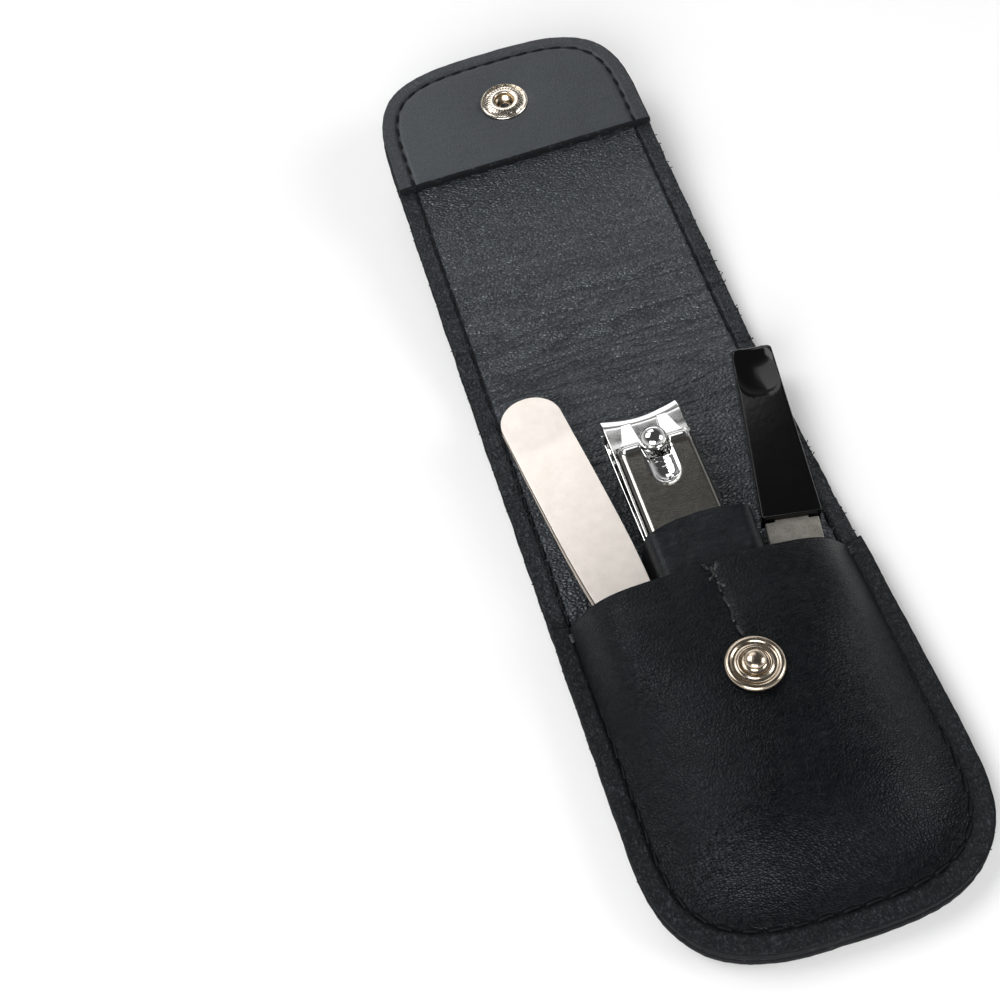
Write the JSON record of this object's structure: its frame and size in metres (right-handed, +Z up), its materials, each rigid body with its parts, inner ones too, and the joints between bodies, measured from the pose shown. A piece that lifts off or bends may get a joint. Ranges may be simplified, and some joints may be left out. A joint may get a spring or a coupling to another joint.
{
  "type": "manicure set case",
  "caption": "Open leather nail-care case with a folding press-stud flap and pockets that hold tweezers, a nail clipper and a nail file.",
  "frame": {"origin": "on the resting face of the back panel, directly under the press stud", "axes": "+X across the case to the right, +Y along the case from the closed pocket end towards the flap, +Z up from the table"},
  "size_m": [0.0583, 0.2108, 0.0171],
  "materials": {
    "case_leather": "black smooth-grain leather, semi-matt",
    "lining_leather": "black pebbled lining leather, matt",
    "pocket_leather": "black smooth-grain leather, semi-matt",
    "nickel": "warm bright nickel",
    "spring_brass": "dull spring brass",
    "satin_steel": "satin stainless steel",
    "clipper_chrome": "polished chrome",
    "file_grit": "fine abrasive coating, matt grey-beige",
    "handle_plastic": "glossy black moulded plastic"
  },
  "bodies": {
    "case": {"back_leather": "case_leather", "back_lining": "lining_leather", "front_pocket": "pocket_leather", "clipper_pocket": "pocket_leather", "snap_stud": "nickel", "snap_stud_eyelet": "nickel"},
    "spine": {"spine_leather": "case_leather", "spine_lining": "lining_leather"},
    "flap": {"flap_leather": "case_leather", "flap_lining": "lining_leather", "flap_facing": "lining_leather", "snap_socket": "nickel", "snap_ring_spring": "spring_brass", "snap_cap": "nickel"},
    "tweezers": {"tweezer_lower_arm": "satin_steel"},
    "tweezers_top": {"tweezer_upper_arm": "satin_steel"},
    "clipper": {"clipper_lower_jaw": "clipper_chrome", "clipper_post": "clipper_chrome", "clipper_rivet": "clipper_chrome"},
    "clipper_top": {"clipper_upper_jaw": "clipper_chrome", "clipper_lever": "clipper_chrome"},
    "nail_file": {"file_blade": "file_grit", "file_handle": "handle_plastic"}
  },
  "joints": [
    {"name": "flap_fold_1", "type": "hinge", "parent": "case", "child": "spine", "pos_m": [0, 0.0697, 0.00491], "axis": [1, 0, 0], "range_deg": [0, 86.75]},
    {"name": "flap_fold_2", "type": "hinge", "parent": "spine", "child": "flap", "pos_m": [0, 0.08208, 0.00572], "axis": [1, 0, 0], "range_deg": [0, 86.75]},
    {"name": "tweezers_slide", "type": "slide", "parent": "case", "child": "tweezers", "axis": [0.101, -0.9945, -0.0279], "range_m": [-0.042, 0.001]},
    {"name": "tweezers_squeeze", "type": "hinge", "parent": "tweezers", "child": "tweezers_top", "pos_m": [-0.01877, 0.05867, 0.00856], "axis": [0.9949, 0.1011, 0], "range_deg": [0, 1.1], "stiffness_Nm_per_rad": 0.8},
    {"name": "clipper_slide", "type": "slide", "parent": "case", "child": "clipper", "axis": [0, -0.9988, -0.0483], "range_m": [-0.031, 0.001]},
    {"name": "clipper_squeeze", "type": "hinge", "parent": "clipper", "child": "clipper_top", "pos_m": [0, 0.0085, 0.00545], "axis": [-1, 0, 0], "range_deg": [0, 2.2], "stiffness_Nm_per_rad": 3},
    {"name": "file_slide", "type": "slide", "parent": "case", "child": "nail_file", "axis": [-0.1855, -0.9816, -0.0454], "range_m": [-0.035, 0.002]}
  ],
  "couplings": [
    {"joint": "flap_fold_2", "follows": "flap_fold_1", "ratio": 1}
  ]
}
